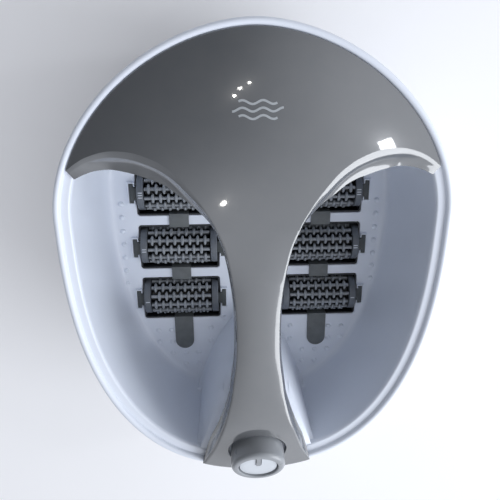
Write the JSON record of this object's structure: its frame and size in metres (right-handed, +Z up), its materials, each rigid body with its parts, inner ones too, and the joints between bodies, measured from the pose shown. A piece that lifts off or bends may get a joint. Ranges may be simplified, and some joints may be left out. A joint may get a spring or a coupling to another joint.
{
  "type": "foot bath",
  "caption": "Egg-shaped white foot bath with two foot wells, massage rollers, a lift-off grey splash cover and a rotary control knob on its neck.",
  "frame": {"origin": "centre of the footprint on the ground, under the four rubber feet", "axes": "+Z up, -Y towards the seated user (knob end), +Y towards the toes under the cover, +X to the right as the user sees it"},
  "size_m": [0.35, 0.43, 0.2188],
  "materials": {
    "basin_white": "glossy white injection-moulded plastic",
    "casing_white": "glossy white plastic",
    "cover_grey": "polished mid-grey plastic",
    "knob_grey": "satin mid-grey plastic",
    "knob_white": "glossy white plastic inlay",
    "roller_grey": "satin dark-grey plastic",
    "strip_grey": "matte dark-grey plastic",
    "dark_plastic": "matte near-black plastic",
    "cord_grey": "soft vinyl cable sheath",
    "rubber": "matte black rubber",
    "steel": "brushed steel",
    "brass": "plain brass",
    "board_green": "green circuit board laminate"
  },
  "bodies": {
    "tub": {"basin": "basin_white", "outer_casing": "casing_white", "base_plate": "casing_white", "foot_pad_1": "rubber", "base_screw_1": "steel", "foot_pad_2": "rubber", "base_screw_2": "steel", "foot_pad_3": "rubber", "base_screw_3": "steel", "foot_pad_4": "rubber", "base_screw_4": "steel", "air_strip_left": "strip_grey", "air_hose_left": "rubber", "heater_left": "steel", "clamp_screw_left": "steel", "air_strip_right": "strip_grey", "air_hose_right": "rubber", "heater_right": "steel", "clamp_screw_right": "steel", "rotary_switch": "dark_plastic", "shaft_seal": "rubber", "switch_nut": "brass", "motor_can": "steel", "motor_clamp": "steel", "pump_body": "dark_plastic", "pump_diaphragm": "rubber", "air_tee": "dark_plastic", "thermostat": "dark_plastic", "control_board": "board_green", "cord_grommet": "rubber", "power_cord": "cord_grey", "plug": "cord_grey"},
    "cover": {"splash_cover": "cover_grey"},
    "knob": {"knob_body": "knob_grey", "knob_face": "knob_white", "switch_shaft": "steel"},
    "rotor": {"motor_shaft": "steel", "eccentric_weight_front": "brass", "eccentric_weight_back": "brass"},
    "pump_arm": {"pump_arm": "steel"},
    "module_rear_left": {"cradle_rear_left": "roller_grey", "axle_rear_left": "steel"},
    "roller_rear_left": {"barrel_rear_left": "roller_grey"},
    "module_middle_left": {"cradle_middle_left": "roller_grey", "axle_middle_left": "steel"},
    "roller_middle_left": {"barrel_middle_left": "roller_grey"},
    "module_front_left": {"cradle_front_left": "roller_grey", "axle_front_left": "steel"},
    "roller_front_left": {"barrel_front_left": "roller_grey"},
    "module_rear_right": {"cradle_rear_right": "roller_grey", "axle_rear_right": "steel"},
    "roller_rear_right": {"barrel_rear_right": "roller_grey"},
    "module_middle_right": {"cradle_middle_right": "roller_grey", "axle_middle_right": "steel"},
    "roller_middle_right": {"barrel_middle_right": "roller_grey"},
    "module_front_right": {"cradle_front_right": "roller_grey", "axle_front_right": "steel"},
    "roller_front_right": {"barrel_front_right": "roller_grey"}
  },
  "joints": [
    {"name": "cover_lift", "type": "slide", "parent": "tub", "child": "cover", "axis": [0, -0.4226, 0.9063], "range_m": [0, 0.25]},
    {"name": "knob_turn", "type": "hinge", "parent": "tub", "child": "knob", "pos_m": [0, -0.18, 0.19412], "axis": [0, -0.4226, 0.9063], "range_deg": [-270, 0]},
    {"name": "rotor_spin", "type": "hinge", "parent": "tub", "child": "rotor", "pos_m": [0, -0.025, 0.036], "axis": [0, 1, 0], "continuous": true},
    {"name": "pump_arm_swing", "type": "hinge", "parent": "tub", "child": "pump_arm", "pos_m": [-0.052, 0.116, 0.039], "axis": [0, 0, 1], "range_deg": [-2, 1.5]},
    {"name": "module_rear_left_lift", "type": "slide", "parent": "tub", "child": "module_rear_left", "axis": [0, 0, 1], "range_m": [0, 0.05]},
    {"name": "roller_rear_left_spin", "type": "hinge", "parent": "module_rear_left", "child": "roller_rear_left", "pos_m": [-0.0775, 0.049, 0.053], "axis": [1, 0, 0], "continuous": true},
    {"name": "module_middle_left_lift", "type": "slide", "parent": "tub", "child": "module_middle_left", "axis": [0, 0, 1], "range_m": [0, 0.05]},
    {"name": "roller_middle_left_spin", "type": "hinge", "parent": "module_middle_left", "child": "roller_middle_left", "pos_m": [-0.0775, -0.012, 0.053], "axis": [1, 0, 0], "continuous": true},
    {"name": "module_front_left_lift", "type": "slide", "parent": "tub", "child": "module_front_left", "axis": [0, 0, 1], "range_m": [0, 0.05]},
    {"name": "roller_front_left_spin", "type": "hinge", "parent": "module_front_left", "child": "roller_front_left", "pos_m": [-0.0775, -0.073, 0.053], "axis": [1, 0, 0], "continuous": true},
    {"name": "module_rear_right_lift", "type": "slide", "parent": "tub", "child": "module_rear_right", "axis": [0, 0, 1], "range_m": [0, 0.05]},
    {"name": "roller_rear_right_spin", "type": "hinge", "parent": "module_rear_right", "child": "roller_rear_right", "pos_m": [0.0775, 0.049, 0.053], "axis": [1, 0, 0], "continuous": true},
    {"name": "module_middle_right_lift", "type": "slide", "parent": "tub", "child": "module_middle_right", "axis": [0, 0, 1], "range_m": [0, 0.05]},
    {"name": "roller_middle_right_spin", "type": "hinge", "parent": "module_middle_right", "child": "roller_middle_right", "pos_m": [0.0775, -0.012, 0.053], "axis": [1, 0, 0], "continuous": true},
    {"name": "module_front_right_lift", "type": "slide", "parent": "tub", "child": "module_front_right", "axis": [0, 0, 1], "range_m": [0, 0.05]},
    {"name": "roller_front_right_spin", "type": "hinge", "parent": "module_front_right", "child": "roller_front_right", "pos_m": [0.0775, -0.073, 0.053], "axis": [1, 0, 0], "continuous": true}
  ]
}
